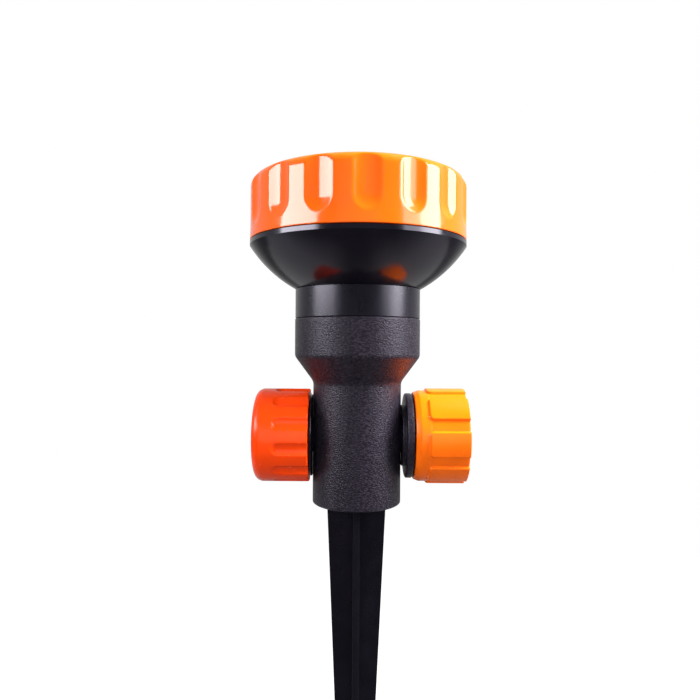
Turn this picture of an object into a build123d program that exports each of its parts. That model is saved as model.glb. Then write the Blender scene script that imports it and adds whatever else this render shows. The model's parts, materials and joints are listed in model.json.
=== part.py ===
from build123d import *
from math import cos, radians, sin, sqrt
import os

# A dial sprinkler on an in-line ground spike. Lengths are millimetres, angles degrees.
# Z is the common axis of spike, housing and head, pointing up, with zero at the
# underside of the housing, which stands on the soil. +X is the hose inlet and -X is
# the capped outlet. The head is turned a little about Z where it is plugged in.

# Clearances
seat_gap = 0.05        # fixed pieces that plug into each other
running_gap = 0.05     # shafts and bores that turn
face_gap = 0.3         # moving faces that don't touch

# Housing
body_r = 16.6
body_wall = 2.4
body_foot_chamfer = 0.3
waist_z = 45.5         # top of the narrow part
shoulder_z = 55.0      # bottom of the wide part
cup_proud = 0.1        # of the wide part over the head's collar
cup_top_z = 69.1
cup_edge_chamfer = 0.4

# Ground spike
spike_plug_gap = 1.9   # between the plug and the necks of the side tubes
spike_plug_wall = 2.0
spike_floor = 2.6
spike_floor_z = 0.8
spike_top_width = 22.1
spike_flare = 1.3
spike_flare_height = 2.4
spike_low_width = 8.0
spike_taper_z = -162.0
spike_tip_z = -180.0
spike_blade = 2.4
spike_blade_count = 2
snap_bead = 0.6
snap_bead_z = 7.5

# Water tee and the tubes in its sides
port_z = 25.2
tube_r = 9.0
tube_bore_r = 6.6
tube_depth = 5.2       # how far a tube reaches into the tee
tee_wall = 1.95
tee_end = 0.8          # of the side ports beyond the riser
riser_r = 8.0
riser_bore_r = 5.2
fin_thickness = 1.8
fin_low_z = 38.5
fin_high_z = 45.0
fin_count = 4
side_ring_wire = 1.5   # thickness of the O-rings on the tubes
side_ring_inset = 2.6  # from a tube's inner end to its O-ring's centre
riser_ring_wire = 1.8
riser_ring_inset = 4.4

# Inlet bush, swivel nut and hose washer
neck_r = 11.5
neck_show = 1.4        # neck seen between housing and disc
disc_inset = 0.4       # of the disc's edge under the nut's
disc_thickness = 2.6
disc_edge_chamfer = 0.4
nut_gap = 0.4
nut_length = 19.2
nut_wall = 3.95        # between the lobes, over the thread
nut_base_length = 4.4
nut_base_step = 0.15
nut_base_flare = 0.7
nut_lobe_height = 0.95
nut_lobe_arc = 33.0
nut_lobe_count = 8
nut_lobe_phase = 3.2
nut_lobe_round = 1.3
nut_end_chamfer = 0.8
nut_lip = 3.5          # inner lip that the tail's collar holds
thread_r = 12.9        # mean radius of the 3/4 inch hose thread
seat_step = 0.5        # the washer's seat is this much narrower than the thread
tail_collar = 2.2
tail_collar_gap = 0.6
washer_thickness = 2.5
washer_bore_r = 7.2
washer_edge_gap = 0.3

# Capped outlet
stop_rise = 2.4        # of the stop flange over the thread
stop_thickness = 0.8
nipple_length = 14.6   # threaded length
nipple_bore_r = 8.6
nipple_end_chamfer = 0.7
cap_rim_gap = 0.3
cap_wall = 3.8
cap_thread_gap = 0.7   # between the mean walls of the two threads
cap_end_wall = 3.1
cap_end_round = 3.0
cap_rim_chamfer = 0.4
cap_washer = 2.5
cap_washer_gap = 0.3
cap_washer_bore_r = 5.0
cap_recess_count = 12
cap_recess_phase = 9.5
cap_recess_width = 4.6
cap_recess_depth = 1.0
cap_recess_length = 12.7

# Head collar
head_turn = 3.2
collar_r = 23.5
collar_height = 11.2
collar_bore_r = 17.0
collar_plug_depth = 8.0
collar_edge_chamfer = 0.3
mark_width = 1.3       # raised index mark under the water port
mark_height = 4.4
mark_rise = 0.4
mark_foot = 2.0        # from the collar's lower edge to the mark

# Bowl
head_r = 40.5          # bowl's rim and foot of the dial ring
bowl_bulge = 1.4       # rise of the flank's arc over its chord
rim_height = 1.55
bowl_height = 15.5     # from the collar to the rim band
bowl_wall = 2.4
bowl_plug_depth = 10.5
riser_stop = 1.9       # height of the shoulder above the riser
lip_gap = 0.4          # between the bowl's inner lip and the dial ring
lip_width = 2.0
lip_height = 3.6
chamber_wall = 2.5

# Port plate, closing the water chamber
port_plate_rise = 4.2  # its underside over the bowl's rim band
port_plate_edge_gap = 1.4
port_plate_thickness = 3.0
port_plate_spigot = 2.0
gasket_thickness = 0.8
gasket_inset = 0.2
port_angle = -90.0
port_cup_wall = 1.6    # wall of the cup round the port
port_cup_hub_gap = 0.6 # between that cup and the turning hub
seal_band = 2.4        # width of the seal and of the ledge under its spring
seal_height = 3.8
seal_play = 0.1        # film of water between seal and dial
seal_side_gap = 0.1
spring_wire = 0.8
spring_turns = 2.5
spring_end_gap = 0.08
plate_screw_inset = 5.0
plate_screw_r = 1.5
plate_screw_length = 11.0
plate_screw_head_r = 2.8
plate_screw_head = 2.0
plate_screw_count = 4
screw_boss_wall = 1.7
chamber_inset = 4.5    # from the screws' circle to the chamber

# Pivot
post_r = 5.0
post_rise = 1.4        # over the turning disc
pivot_wall = 3.45
pivot_screw_r = 2.0
pivot_screw_length = 11.0
pivot_head_r = 4.2
pivot_head = 2.4
pivot_washer_inset = 0.5
pivot_washer = 1.0
pivot_play = 0.2

# Pattern plate, the turning disc with the spray holes
pattern_rise = 5.8     # its underside over the port plate
pattern_thickness = 3.0
pattern_edge_gap = 0.3
pattern_count = 8
pad_gap = 0.3          # between the pads and the hub cap
pad_slope = 0.8
pad_height = 1.6
jet_r = 0.65           # over the corners of a six-sided jet
jet_inset = 1.6        # from a pad's edge to its outermost jets
detent_gap = 0.9       # between the port's cup and the detent track
detent_track_width = 3.0
detent_track_height = 1.9
detent_notch_r = 1.9

# Detent leaf spring
leaf_width = 6.0
leaf_thickness = 0.5
leaf_start = 10.5
leaf_flat = 6.5
leaf_ramp = 7.0
leaf_nose_r = 1.6
leaf_screw_r = 1.2
leaf_screw_head_r = 2.2
leaf_screw_head = 1.4
leaf_screw_length = 2.4

# Dial ring, the grip of the turning disc
dial_height = 23.0
dial_draft = 0.2
dial_wall = 3.0
dial_top = 2.4
dial_edge_round = 3.6
dial_mouth_chamfer = 1.2
dial_skirt = 2.4
dial_screw_space = 3.9 # between the skirt and the wall
recess_count = 16
recess_width = 9.3
recess_depth = 1.3
recess_foot = 4.85     # from the ring's foot to the recesses
dial_screw_r = 0.9
dial_screw_length = 8.0
dial_screw_head_r = 1.75
dial_screw_head = 1.5
dial_screw_count = 4

# Hub cap
hub_cap_wall = 2.0
hub_cap_space = 0.6    # over the pivot screw's head
hub_cap_chamfer = 1.6
hub_cap_gap = 0.1

# Sizes that follow
body_inner_r = body_r - body_wall
cup_r = collar_r + cup_proud
cup_inner_r = cup_r - body_wall
tee_port_r = tube_r + seat_gap + tee_wall
tee_half = riser_r + tee_end
tube_inner_x = tee_half - tube_depth
disc_x = body_r + neck_show
nut_x = disc_x + disc_thickness + nut_gap
nut_end_x = nut_x + nut_length
tail_collar_x = nut_x + nut_lip + face_gap
washer_x = tail_collar_x + tail_collar
thread_start_x = washer_x + washer_thickness
nut_seat_r = thread_r - seat_step
nut_core_r = thread_r + nut_wall
nut_lobe_r = nut_core_r + nut_lobe_height
nut_base_top_r = nut_core_r + nut_base_step
nut_base_r = nut_base_top_r - nut_base_flare
disc_r = nut_base_r - disc_inset
stop_r = thread_r + stop_rise
cap_bore_r = thread_r + cap_thread_gap
cap_r = cap_bore_r + cap_wall
stop_x = body_r + seat_gap + stop_thickness
nipple_end_x = stop_x + nipple_length
cap_rim_x = stop_x + cap_rim_gap
cap_washer_x = nipple_end_x + face_gap
cap_floor_x = cap_washer_x + cap_washer
cap_end_x = cap_floor_x + cap_end_wall
collar_top_z = cup_top_z + collar_height
bowl_floor_z = collar_top_z + bowl_wall
riser_top_z = bowl_floor_z - riser_stop
rim_low_z = collar_top_z + bowl_height
rim_top_z = rim_low_z + rim_height
inner_rim_z = rim_low_z + bowl_wall / 2
dial_low_z = rim_top_z + face_gap
dial_top_z = dial_low_z + dial_height
dial_r = head_r - dial_draft
dial_inner_r = dial_r - dial_wall
lip_r = dial_inner_r - lip_gap
recess_low_z = dial_low_z + recess_foot
port_plate_r = lip_r - lip_width - port_plate_edge_gap
port_plate_z = rim_low_z + port_plate_rise
port_plate_top_z = port_plate_z + port_plate_thickness
plate_screw_reach = port_plate_r - plate_screw_inset
chamber_r = plate_screw_reach - chamber_inset
hub_bore_r = post_r + running_gap
hub_r = hub_bore_r + pivot_wall
hub_cap_bore_r = hub_r + hub_cap_gap
hub_cap_r = hub_cap_bore_r + hub_cap_wall
port_reach = (hub_cap_r + chamber_r) / 2
port_cup_r = port_reach - hub_r - port_cup_hub_gap
port_cup_bore_r = port_cup_r - port_cup_wall
seal_r = port_cup_bore_r - seal_side_gap
port_r = port_cup_bore_r - seal_band
pad_r = port_reach - hub_cap_r - pad_gap
pad_top_r = pad_r - pad_slope
jet_reach = pad_top_r - jet_inset
pattern_z = port_plate_top_z + pattern_rise
port_cup_top_z = pattern_z - face_gap
detent_track_r = port_reach + port_cup_r + detent_gap
pattern_top_z = pattern_z + pattern_thickness
post_top_z = pattern_top_z + post_rise
hub_top_z = post_top_z - pivot_play
pivot_seat_z = post_top_z + pivot_washer
hub_cap_inner_z = pivot_seat_z + pivot_head + hub_cap_space
dial_screw_reach = dial_inner_r - dial_screw_space / 2
dial_mouth_r = dial_inner_r - dial_screw_space - dial_skirt
leaf_top_z = pattern_z - detent_track_height - face_gap


def turned(points):
    """Solid turned about Z from (radius, height) corners."""
    return revolve(Plane.XZ * make_face(Polyline(*points, close=True)), Axis.Z)


def turned_on_x(points):
    """Solid turned about X from (distance along X, radius) corners."""
    return revolve(Plane.XZ * make_face(Polyline(*points, close=True)), Axis.X)


def disc(radius, low, high):
    """Solid cylinder on Z."""
    return turned([(0, low), (radius, low), (radius, high), (0, high)])


def ring(outer, inner, low, high):
    """Tube on Z."""
    return turned([(inner, low), (outer, low), (outer, high), (inner, high)])


def disc_on_x(radius, start, end):
    """Solid cylinder on X."""
    return turned_on_x([(start, 0), (end, 0), (end, radius), (start, radius)])


def ring_on_x(outer, inner, start, end):
    """Tube on X."""
    return turned_on_x([(start, inner), (end, inner), (end, outer), (start, outer)])


def scoop_radius(wall_r, width, depth):
    """Radius of the tool that cuts a recess of a width and depth in a round wall."""
    half = width / 2
    drop = depth - (wall_r - sqrt(wall_r**2 - half**2))
    return (half**2 + drop**2) / (2 * drop)


def scoop_tool(wall_r, width, depth, length):
    """Round-nosed tool along Z, beside a wall at wall_r on X, whose recess starts at zero."""
    tool_r = scoop_radius(wall_r, width, depth)
    nose = sqrt(tool_r**2 - (tool_r - depth) ** 2)
    tool = Cylinder(tool_r, length, align=(Align.CENTER, Align.CENTER, Align.MIN)) + Sphere(tool_r)
    return Pos(wall_r - depth + tool_r, 0, nose) * tool


def around(solid, count, phase=0.0):
    """Copies of a solid, evenly spaced about Z."""
    return [Rot(0, 0, phase + step * 360 / count) * solid for step in range(count)]


def around_x(solid, count, phase=0.0):
    """Copies of a solid, evenly spaced about X."""
    return [Rot(phase + step * 360 / count, 0, 0) * solid for step in range(count)]


def edges_on_z(solid, *rings):
    """Circular edges on Z that have one of the (radius, height) pairs."""
    return [
        edge
        for edge in solid.edges().filter_by(GeomType.CIRCLE)
        for ring_r, ring_z in rings
        if abs(edge.radius - ring_r) < 1e-3 and abs(edge.arc_center.Z - ring_z) < 1e-3
    ]


def edges_on_x(solid, *rings):
    """Circular edges on X that have one of the (distance, radius) pairs."""
    return [
        edge
        for edge in solid.edges().filter_by(GeomType.CIRCLE)
        for ring_x, ring_r in rings
        if abs(edge.radius - ring_r) < 1e-3 and abs(edge.arc_center.X - ring_x) < 1e-3
    ]


def lifted(solid):
    """Puts a solid that was turned on X at the height of the side ports."""
    return Pos(0, 0, port_z) * solid


def joined(solids):
    """One group of separate solids."""
    first, *others = solids
    return first + others


def on_head(solid):
    """Turns a piece of the head to the angle at which the head is plugged in."""
    return Rot(0, 0, head_turn) * solid


def at_port(solid):
    """Puts a solid that was made on Z over the water port."""
    return Rot(0, 0, port_angle) * Pos(port_reach, 0, 0) * solid


def body_housing():
    """Textured outer body: narrow tube, cone and wide cup in one hollow moulding."""
    outer = turned(
        [(0, 0), (body_r, 0), (body_r, waist_z), (cup_r, shoulder_z), (cup_r, cup_top_z), (0, cup_top_z)]
    )
    outer = chamfer(edges_on_z(outer, (body_r, 0)), body_foot_chamfer)
    outer = chamfer(edges_on_z(outer, (cup_r, cup_top_z)), cup_edge_chamfer)
    inner = turned(
        [
            (0, -1),
            (body_inner_r, -1),
            (body_inner_r, waist_z + body_wall / 2),
            (cup_inner_r, shoulder_z + body_wall / 2),
            (cup_inner_r, cup_top_z + 1),
            (0, cup_top_z + 1),
        ]
    )
    sides = lifted(disc_on_x(neck_r + seat_gap, -2 * body_r, 2 * body_r))
    groove_r = body_inner_r + snap_bead
    groove = ring(groove_r, body_inner_r - 1, snap_bead_z - snap_bead, snap_bead_z + snap_bead)
    return outer - inner - sides - groove


def ground_spike():
    """Cross-bladed spike with a plug that snaps into the foot of the housing."""
    plug_r = body_inner_r - seat_gap
    plug_top_z = port_z - neck_r - spike_plug_gap
    plug = disc(plug_r, spike_floor_z, plug_top_z)
    plug -= disc(plug_r - spike_plug_wall, spike_floor_z + spike_floor, plug_top_z + 1)
    bead_z = snap_bead_z
    bead_r = plug_r + snap_bead
    bead = turned(
        [(plug_r - 0.5, bead_z - snap_bead), (plug_r, bead_z - snap_bead),
         (bead_r, bead_z), (plug_r, bead_z + snap_bead), (plug_r - 0.5, bead_z + snap_bead)]
    )
    half_top = spike_top_width / 2
    half_low = spike_low_width / 2
    outline = Polyline(
        (half_top + spike_flare, spike_floor_z + spike_floor / 2),
        (half_top, spike_floor_z - spike_flare_height),
        (half_low, spike_taper_z),
        (0, spike_tip_z),
        (-half_low, spike_taper_z),
        (-half_top, spike_floor_z - spike_flare_height),
        (-half_top - spike_flare, spike_floor_z + spike_floor / 2),
        close=True,
    )
    blade = extrude(Plane.XZ * make_face(outline), spike_blade / 2, both=True)
    blades = [Rot(0, 0, 180 / spike_blade_count * step) * blade for step in range(spike_blade_count)]
    return plug + bead + blades


def ring_groove(ring_wire, tube_outer_r):
    """Inner radius of the groove that holds an O-ring on a tube."""
    return tube_outer_r + seat_gap - ring_wire


def water_tee():
    """Water way inside the housing: two side ports and the riser to the head."""
    reach = body_inner_r - seat_gap
    body = lifted(disc_on_x(tee_port_r, -tee_half, tee_half)) & disc(reach, 0, fin_high_z)
    body += disc(riser_r, port_z, riser_top_z)
    fin = Box(reach, fin_thickness, fin_high_z - fin_low_z, align=(Align.MIN, Align.CENTER, Align.MIN))
    body += around(Pos(0, 0, fin_low_z) * fin, fin_count, 45)
    body -= lifted(disc_on_x(tube_bore_r, -tee_half, tee_half))
    body -= lifted(disc_on_x(tube_r + seat_gap, tube_inner_x, tee_half + 1))
    body -= lifted(disc_on_x(tube_r + seat_gap, -tee_half - 1, -tube_inner_x))
    body -= disc(riser_bore_r, port_z, riser_top_z + 1)
    groove_z = riser_top_z - riser_ring_inset
    half = riser_ring_wire / 2 + seat_gap
    body -= ring(riser_r + 1, ring_groove(riser_ring_wire, riser_r), groove_z - half, groove_z + half)
    return body


def oring(wire, bore_r):
    """Seal ring on Z, square in section, that just fills a bore."""
    outer = bore_r - seat_gap / 2
    across = wire - seat_gap
    return ring(outer, outer - across, -across / 2, across / 2)


def riser_oring():
    """Seals the riser in the bowl's socket."""
    return Pos(0, 0, riser_top_z - riser_ring_inset) * oring(riser_ring_wire, riser_r + seat_gap)


def side_oring(side):
    """Seals a tube in the tee: side is 1 at the inlet and -1 at the outlet."""
    place = side * (tube_inner_x + side_ring_inset)
    return lifted(Pos(place, 0, 0) * Rot(0, 90, 0) * oring(side_ring_wire, tube_r + seat_gap))


def side_ring_cut(side):
    """Groove of a tube's O-ring."""
    place = side * (tube_inner_x + side_ring_inset)
    half = side_ring_wire / 2 + seat_gap
    return ring_on_x(tube_r + 1, ring_groove(side_ring_wire, tube_r), place - half, place + half)


def inlet_tail():
    """Tube from the tee to the swivel nut, with the collar that holds the nut."""
    tail = disc_on_x(tube_r, tube_inner_x, washer_x)
    tail += disc_on_x(nut_seat_r - tail_collar_gap, tail_collar_x, washer_x)
    tail -= disc_on_x(tube_bore_r, tube_inner_x - 1, washer_x + 1)
    return lifted(tail - side_ring_cut(1))


def inlet_bush():
    """Neck and disc slid on the tail behind the nut, clamped against the tee."""
    bush = disc_on_x(neck_r, tee_half + seat_gap, disc_x + disc_thickness)
    bush += disc_on_x(disc_r, disc_x, disc_x + disc_thickness)
    bush = chamfer(edges_on_x(bush, (disc_x, disc_r), (disc_x + disc_thickness, disc_r)), disc_edge_chamfer)
    return lifted(bush - disc_on_x(tube_r + seat_gap, 0, nut_x))


def swivel_nut():
    """Hose nut with eight broad grip lobes; its inner lip is held by the tail's collar."""
    lobe_x = nut_x + nut_base_length
    core = turned_on_x(
        [
            (nut_x, 0),
            (nut_x, nut_base_r),
            (lobe_x, nut_base_top_r),
            (lobe_x, nut_core_r),
            (nut_end_x, nut_core_r),
            (nut_end_x, 0),
        ]
    )
    core = chamfer(edges_on_x(core, (nut_end_x, nut_core_r)), nut_end_chamfer / 2)
    section = Polyline(
        (lobe_x, thread_r + 1),
        (nut_end_x, thread_r + 1),
        (nut_end_x, nut_lobe_r),
        (lobe_x, nut_lobe_r),
        close=True,
    )
    lobe = revolve(Plane.XZ * make_face(section), Axis.X, nut_lobe_arc)
    lobe = Rot(nut_lobe_phase - nut_lobe_arc / 2 - 90, 0, 0) * lobe
    outer_face = lobe.faces().filter_by(GeomType.CYLINDER).sort_by(lambda face: face.area)[-1]
    lobe = fillet(outer_face.edges().filter_by(GeomType.LINE), nut_lobe_round)
    lobe = chamfer(edges_on_x(lobe, (nut_end_x, nut_lobe_r)), nut_end_chamfer)
    nut = core + around_x(lobe, nut_lobe_count)
    nut -= disc_on_x(tube_r + face_gap, nut_x - 1, nut_end_x)
    nut -= disc_on_x(nut_seat_r, nut_x + nut_lip, nut_end_x)
    nut -= disc_on_x(thread_r, thread_start_x, nut_end_x + 1)
    return lifted(nut)


def hose_washer():
    """Flat rubber washer on the tail's collar, at the bottom of the nut."""
    return lifted(ring_on_x(nut_seat_r - washer_edge_gap, washer_bore_r, washer_x, thread_start_x))


def outlet_nipple():
    """Outlet with a male hose thread, a stop flange and a tube into the tee."""
    nipple = turned_on_x(
        [
            (-tube_inner_x, 0),
            (-tube_inner_x, tube_r),
            (-tee_half - seat_gap, tube_r),
            (-tee_half - seat_gap, neck_r),
            (-stop_x + stop_thickness, neck_r),
            (-stop_x + stop_thickness, stop_r),
            (-stop_x, stop_r),
            (-stop_x, thread_r),
            (-nipple_end_x, thread_r),
            (-nipple_end_x, 0),
        ]
    )
    nipple = chamfer(edges_on_x(nipple, (-nipple_end_x, thread_r)), nipple_end_chamfer)
    nipple -= disc_on_x(tube_bore_r, -stop_x, -tube_inner_x + 1)
    nipple -= disc_on_x(nipple_bore_r, -nipple_end_x - 1, -stop_x)
    return lifted(nipple - side_ring_cut(-1))


def end_cap():
    """Screw cap with twelve finger recesses that run out at its open end."""
    cap = disc_on_x(cap_r, -cap_end_x, -cap_rim_x)
    cap = fillet(edges_on_x(cap, (-cap_end_x, cap_r)), cap_end_round)
    cap = chamfer(edges_on_x(cap, (-cap_rim_x, cap_r)), cap_rim_chamfer)
    cap -= disc_on_x(cap_bore_r, -cap_floor_x, 0)
    tool = scoop_tool(cap_r, cap_recess_width, cap_recess_depth, cap_recess_length)
    tool = Pos(-cap_rim_x - cap_recess_length, 0, 0) * Rot(0, 90, 0) * tool
    for recess in around_x(tool, cap_recess_count, cap_recess_phase + 90):
        cap -= recess
    return lifted(cap)


def end_cap_washer():
    """Flat rubber washer at the bottom of the cap."""
    return lifted(ring_on_x(cap_bore_r - cap_washer_gap, cap_washer_bore_r, -cap_floor_x, -cap_washer_x))


def index_mark():
    """Tapered mark that stands on the collar, under the dial's water port."""
    low_z = cup_top_z + mark_foot
    high_z = low_z + mark_height
    outline = Polyline(
        (-mark_width / 2, low_z),
        (mark_width / 2, low_z),
        (mark_width / 4, high_z),
        (-mark_width / 4, high_z),
        close=True,
    )
    return extrude(Plane.XZ.offset(collar_r - 1) * make_face(outline), 1 + mark_rise)


def head_collar():
    """Smooth band that plugs into the housing, carries the bowl and has an index mark."""
    collar = disc(collar_r, cup_top_z, collar_top_z)
    collar = chamfer(edges_on_z(collar, (collar_r, cup_top_z), (collar_r, collar_top_z)), collar_edge_chamfer)
    collar += index_mark()
    collar += disc(cup_inner_r - seat_gap, cup_top_z - collar_plug_depth, cup_top_z)
    collar -= disc(collar_bore_r + seat_gap, cup_top_z - collar_plug_depth - 1, collar_top_z + 1)
    return on_head(collar)


def bowl_solid():
    """Filled bowl form: an arc from the rim band down to the collar, turned about Z."""
    flank = SagittaArc((head_r, rim_low_z), (collar_r, collar_top_z), bowl_bulge)
    rest = Polyline(
        (collar_r, collar_top_z), (0, collar_top_z), (0, rim_top_z), (head_r, rim_top_z), (head_r, rim_low_z)
    )
    return revolve(Plane.XZ * make_face([flank, rest]), Axis.Z)


def bowl_hollow(margin, top_z):
    """Conical inside of the bowl up to a height, grown into the bowl's wall by a margin."""
    edge_r = head_r - bowl_wall + margin
    floor_z = bowl_floor_z - margin
    return turned([(0, floor_z), (collar_r, floor_z), (edge_r, inner_rim_z), (edge_r, top_z), (0, top_z)])


def spray_bowl():
    """Glossy bowl under the dial, with the water chamber and the riser's socket."""
    bowl = bowl_solid() - bowl_hollow(0, rim_top_z + 1)
    bowl += ring(head_r - bowl_wall + seat_gap, lip_r - lip_width, inner_rim_z, rim_top_z)
    bowl += ring(lip_r, lip_r - lip_width, inner_rim_z, rim_top_z + lip_height)
    bowl += disc(collar_bore_r, collar_top_z - bowl_plug_depth, collar_top_z)
    wall_top_z = port_plate_z - gasket_thickness
    boss = Pos(plate_screw_reach, 0, 0) * disc(plate_screw_r + screw_boss_wall, collar_top_z, port_plate_z)
    walls = ring(chamber_r + chamber_wall, chamber_r, collar_top_z, wall_top_z)
    walls += around(boss, plate_screw_count, 45)
    walls -= ring(chamber_r + chamber_wall, chamber_r, wall_top_z, port_plate_z + 1)
    walls -= disc(chamber_r, collar_top_z, port_plate_z + 1)
    bowl += walls & bowl_hollow(bowl_wall / 2, port_plate_z + 1)
    screw_low_z = port_plate_top_z - plate_screw_length - 0.5
    pilot = Pos(plate_screw_reach, 0, 0) * disc(plate_screw_r + seat_gap, screw_low_z, port_plate_z + 1)
    bowl -= around(pilot, plate_screw_count, 45)
    bowl -= disc(riser_r + seat_gap, collar_top_z - bowl_plug_depth - 1, riser_top_z + seat_gap)
    bowl -= disc(riser_bore_r, collar_top_z - bowl_plug_depth, bowl_floor_z + 1)
    return on_head(bowl)


def chamber_gasket():
    """Flat seal between the chamber wall and the port plate."""
    outer = chamber_r + chamber_wall - gasket_inset
    return on_head(ring(outer, chamber_r + gasket_inset, port_plate_z - gasket_thickness, port_plate_z))


def port_plate():
    """Fixed plate over the chamber, with the port's cup and the pivot post."""
    plate = disc(port_plate_r, port_plate_z, port_plate_top_z)
    plate += disc(chamber_r - seat_gap, port_plate_z - port_plate_spigot, port_plate_z)
    plate -= disc(chamber_r - bowl_wall, port_plate_z - port_plate_spigot - 1, port_plate_z)
    plate += disc(post_r, port_plate_z, post_top_z)
    cup_floor_z = port_plate_z + port_plate_thickness / 2
    plate += at_port(disc(port_cup_r, port_plate_z, port_cup_top_z))
    plate -= at_port(disc(port_cup_bore_r, cup_floor_z, port_cup_top_z + 1))
    plate -= at_port(disc(port_r, port_plate_z - port_plate_spigot - 1, port_cup_top_z))
    hole = disc(plate_screw_r + seat_gap, port_plate_z - 1, port_plate_top_z + 1)
    plate -= around(Pos(plate_screw_reach, 0, 0) * hole, plate_screw_count, 45)
    plate -= disc(pivot_screw_r + seat_gap, post_top_z - pivot_screw_length - 0.5, post_top_z + 1)
    leaf_hole = disc(leaf_screw_r + seat_gap, port_plate_top_z - leaf_screw_length, port_plate_top_z + 1)
    plate -= Rot(0, 0, -port_angle) * Pos(leaf_start + leaf_flat / 2, 0, 0) * leaf_hole
    return on_head(plate)


def pan_screw(shank_r, length, pan_r, head, seat_z):
    """Screw on Z whose head rests on a seat and whose shank points down."""
    return disc(shank_r, seat_z - length, seat_z) + disc(pan_r, seat_z, seat_z + head)


def port_plate_screws():
    """Screws that hold the port plate on the bowl."""
    length = plate_screw_length
    screw = pan_screw(plate_screw_r, length, plate_screw_head_r, plate_screw_head, port_plate_top_z)
    return on_head(joined(around(Pos(plate_screw_reach, 0, 0) * screw, plate_screw_count, 45)))


def port_seal():
    """Sprung rubber ring that presses on the underside of the dial."""
    top_z = pattern_z - seal_play
    return on_head(at_port(ring(seal_r, seal_r - seal_band, top_z - seal_height, top_z)))


def port_seal_spring():
    """Coil spring of square wire under the port seal."""
    low_z = port_plate_z + port_plate_thickness / 2 + spring_wire / 2 + spring_end_gap
    high_z = pattern_z - seal_play - seal_height - spring_wire / 2 - spring_end_gap
    radius = (port_r + port_cup_bore_r) / 2
    path = Helix(pitch=(high_z - low_z) / spring_turns, height=high_z - low_z, radius=radius)
    section = Plane(path @ 0, x_dir=(1, 0, 0), z_dir=path % 0) * Rectangle(spring_wire, spring_wire)
    return on_head(at_port(Pos(0, 0, low_z) * sweep(section, path, is_frenet=True)))


def detent_leaf():
    """Steel leaf whose nose clicks into the notches under the dial."""
    low_z = port_plate_top_z
    top_z = leaf_top_z
    ramp_x = leaf_start + leaf_flat
    nose_x = ramp_x + leaf_ramp
    end_x = detent_track_r + detent_track_width
    section = Polyline(
        (leaf_start, low_z),
        (ramp_x, low_z),
        (nose_x, top_z - leaf_thickness),
        (end_x, top_z - leaf_thickness),
        (end_x, top_z),
        (nose_x, top_z),
        (ramp_x, low_z + leaf_thickness),
        (leaf_start, low_z + leaf_thickness),
        close=True,
    )
    leaf = extrude(Plane.XZ * make_face(section), leaf_width / 2, both=True)
    nose = Pos(0, 0, top_z) * disc_on_x(leaf_nose_r, detent_track_r, end_x)
    below = Box(2 * end_x, leaf_width, 2 * leaf_nose_r, align=(Align.CENTER, Align.CENTER, Align.MAX))
    leaf += nose - Pos(0, 0, top_z - leaf_thickness / 2) * below
    hole = disc(leaf_screw_r + seat_gap, low_z - 1, low_z + 1)
    leaf -= Pos(leaf_start + leaf_flat / 2, 0, 0) * hole
    return on_head(Rot(0, 0, -port_angle) * leaf)


def detent_screw():
    """Screw that holds the detent leaf."""
    seat_z = port_plate_top_z + leaf_thickness
    length = leaf_screw_length + leaf_thickness - seat_gap
    screw = pan_screw(leaf_screw_r, length, leaf_screw_head_r, leaf_screw_head, seat_z)
    return on_head(Rot(0, 0, -port_angle) * Pos(leaf_start + leaf_flat / 2, 0, 0) * screw)


def ring_of_points(count, reach):
    """Points evenly spaced on a circle."""
    return [
        (reach * cos(radians(360 * step / count)), reach * sin(radians(360 * step / count)))
        for step in range(count)
    ]


def row_of_points(count, pitch):
    """Points in a row through the centre."""
    return [(0, pitch * (step - (count - 1) / 2)) for step in range(count)]


def spray_patterns():
    """Places of the jets in each of the dial's groups."""
    middle = 0.75 * jet_reach
    return [
        row_of_points(1, 0),
        ring_of_points(6, middle),
        row_of_points(5, jet_reach / 2),
        ring_of_points(4, jet_reach),
        ring_of_points(3, jet_reach / 2),
        ring_of_points(8, jet_reach) + row_of_points(1, 0),
        row_of_points(3, middle),
        ring_of_points(5, middle),
    ]


def pattern_plate():
    """Turning disc with a raised pad of spray holes at each of its positions."""
    plate_r = dial_inner_r - pattern_edge_gap
    plate = disc(plate_r, pattern_z, pattern_top_z)
    plate += disc(hub_r, port_plate_top_z + face_gap, hub_top_z)
    track_low_z = pattern_z - detent_track_height
    track = ring(detent_track_r + detent_track_width, detent_track_r, track_low_z, pattern_z)
    notch = Pos(0, 0, leaf_top_z) * disc_on_x(detent_notch_r, detent_track_r - 1, plate_r)
    track -= around(notch, pattern_count, port_angle)
    plate += track
    top_z = pattern_top_z + pad_height
    low_z = pattern_z + 1
    pad = turned([(0, low_z), (pad_r, low_z), (pad_r, pattern_top_z), (pad_top_r, top_z), (0, top_z)])
    plate += around(Pos(port_reach, 0, 0) * pad, pattern_count, port_angle)
    plate -= disc(hub_bore_r, port_plate_top_z, hub_top_z + 1)
    jet = Pos(0, 0, pattern_z - 1) * extrude(RegularPolygon(jet_r, 6), top_z + 2 - pattern_z)
    for step, points in enumerate(spray_patterns()):
        turn = port_angle + step * 360 / pattern_count
        for along, across in points:
            plate -= Rot(0, 0, turn) * Pos(port_reach + along, across, 0) * jet
    hole = Pos(dial_screw_reach, 0, 0) * disc(dial_screw_r + seat_gap, pattern_z - 1, pattern_top_z + 1)
    plate -= around(hole, dial_screw_count, 45)
    return on_head(plate)


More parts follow.
